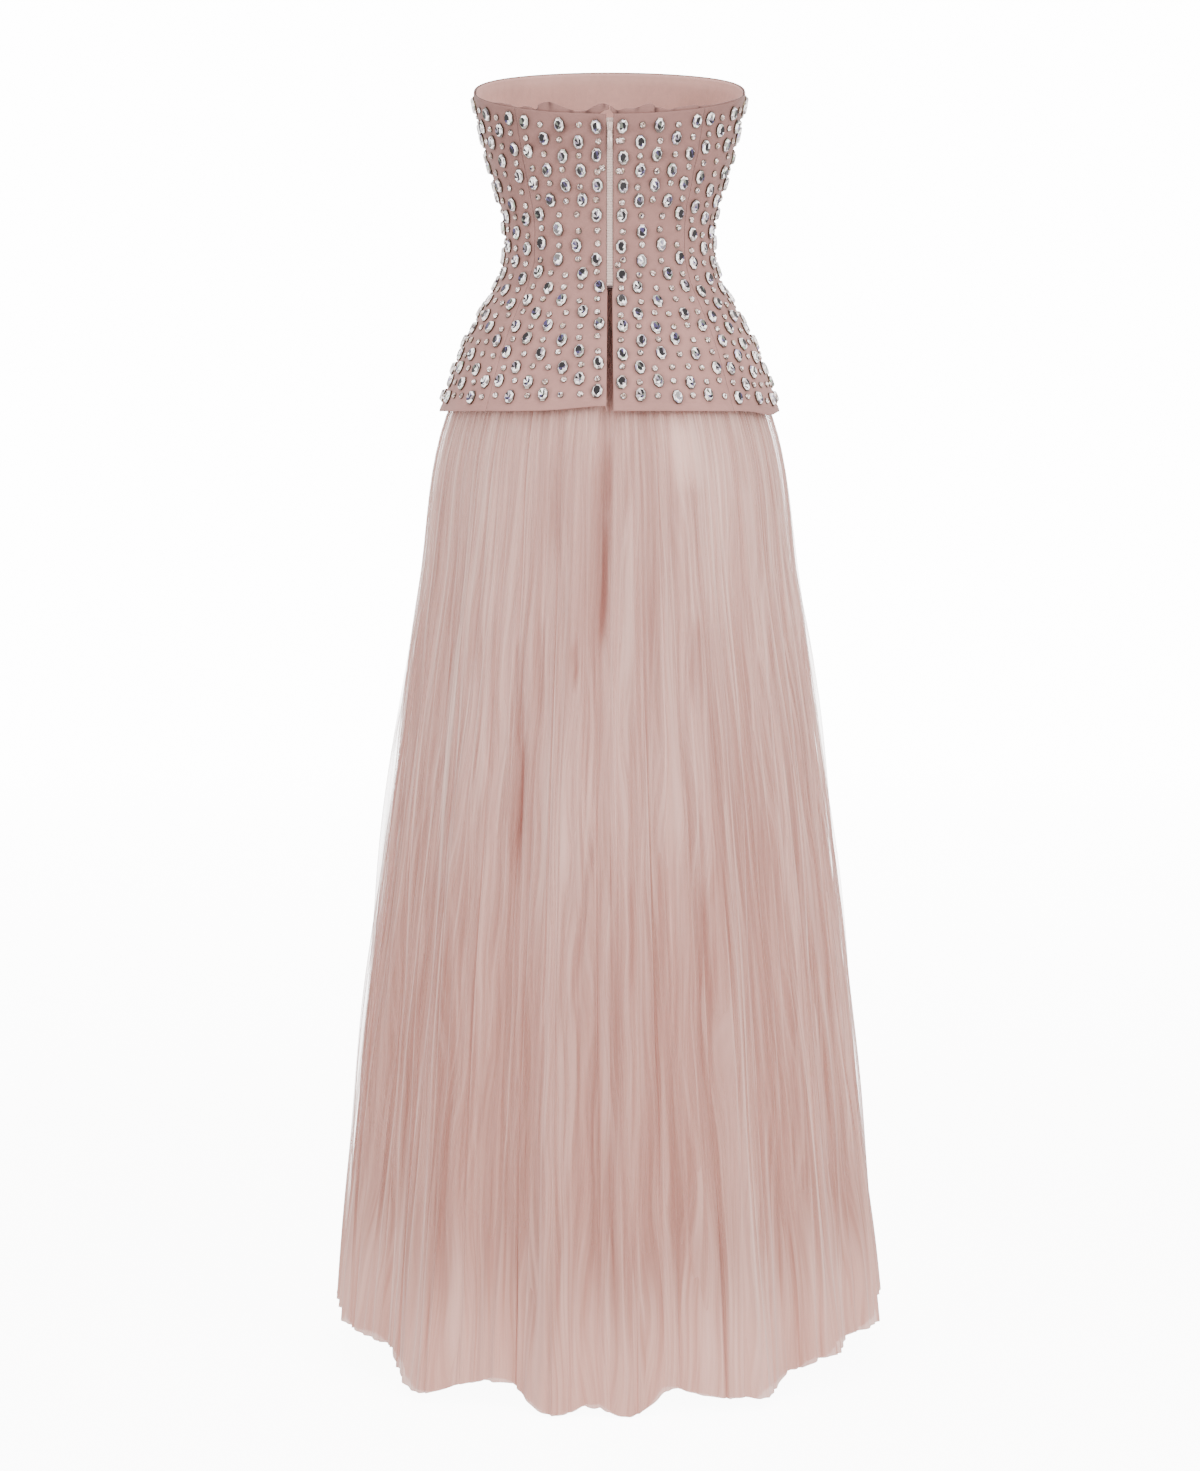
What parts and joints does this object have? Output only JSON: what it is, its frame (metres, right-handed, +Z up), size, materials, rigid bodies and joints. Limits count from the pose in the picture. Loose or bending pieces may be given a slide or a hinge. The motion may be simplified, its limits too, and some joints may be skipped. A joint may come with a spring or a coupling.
{
  "type": "strapless gown",
  "caption": "Floor-length strapless gown: stone-set bodice with peplum, back zip, and pleated dusty-pink tulle skirt.",
  "frame": {"origin": "centre of the waist at its narrowest level, where the wearer holds the gown up", "axes": "+Z up the wearer's body, the longest extent; -Y the way the wearer faces; +X the wearer's left side"},
  "size_m": [0.6011, 0.5806, 1.3679],
  "materials": {
    "bodice_cloth": "satin",
    "lining_cloth": "satin",
    "tulle": "matte",
    "under_tulle": "matte",
    "zip_tape": "matte",
    "zip_metal": "gloss"
  },
  "bodies": {
    "gown": {"front_panel": "bodice_cloth", "side_front_left": "bodice_cloth", "side_front_right": "bodice_cloth", "side_back_left": "bodice_cloth", "side_back_right": "bodice_cloth", "back_left": "bodice_cloth", "back_right": "bodice_cloth", "lining_front": "lining_cloth", "lining_back_left": "lining_cloth", "lining_back_right": "lining_cloth", "skirt_front": "tulle", "skirt_back_left": "tulle", "skirt_back_right": "tulle", "underskirt_front": "under_tulle", "underskirt_back_left": "under_tulle", "underskirt_back_right": "under_tulle", "zip_tape_left": "zip_tape", "zip_tape_right": "zip_tape", "zip_slider": "zip_metal"},
    "pull_tab": {"zip_pull": "zip_metal"}
  },
  "joints": [
    {"name": "pull_tab_swing", "type": "hinge", "parent": "gown", "child": "pull_tab", "pos_m": [0, 0.10676, 0.11012], "axis": [1, 0, 0], "range_deg": [-6, 165]}
  ]
}
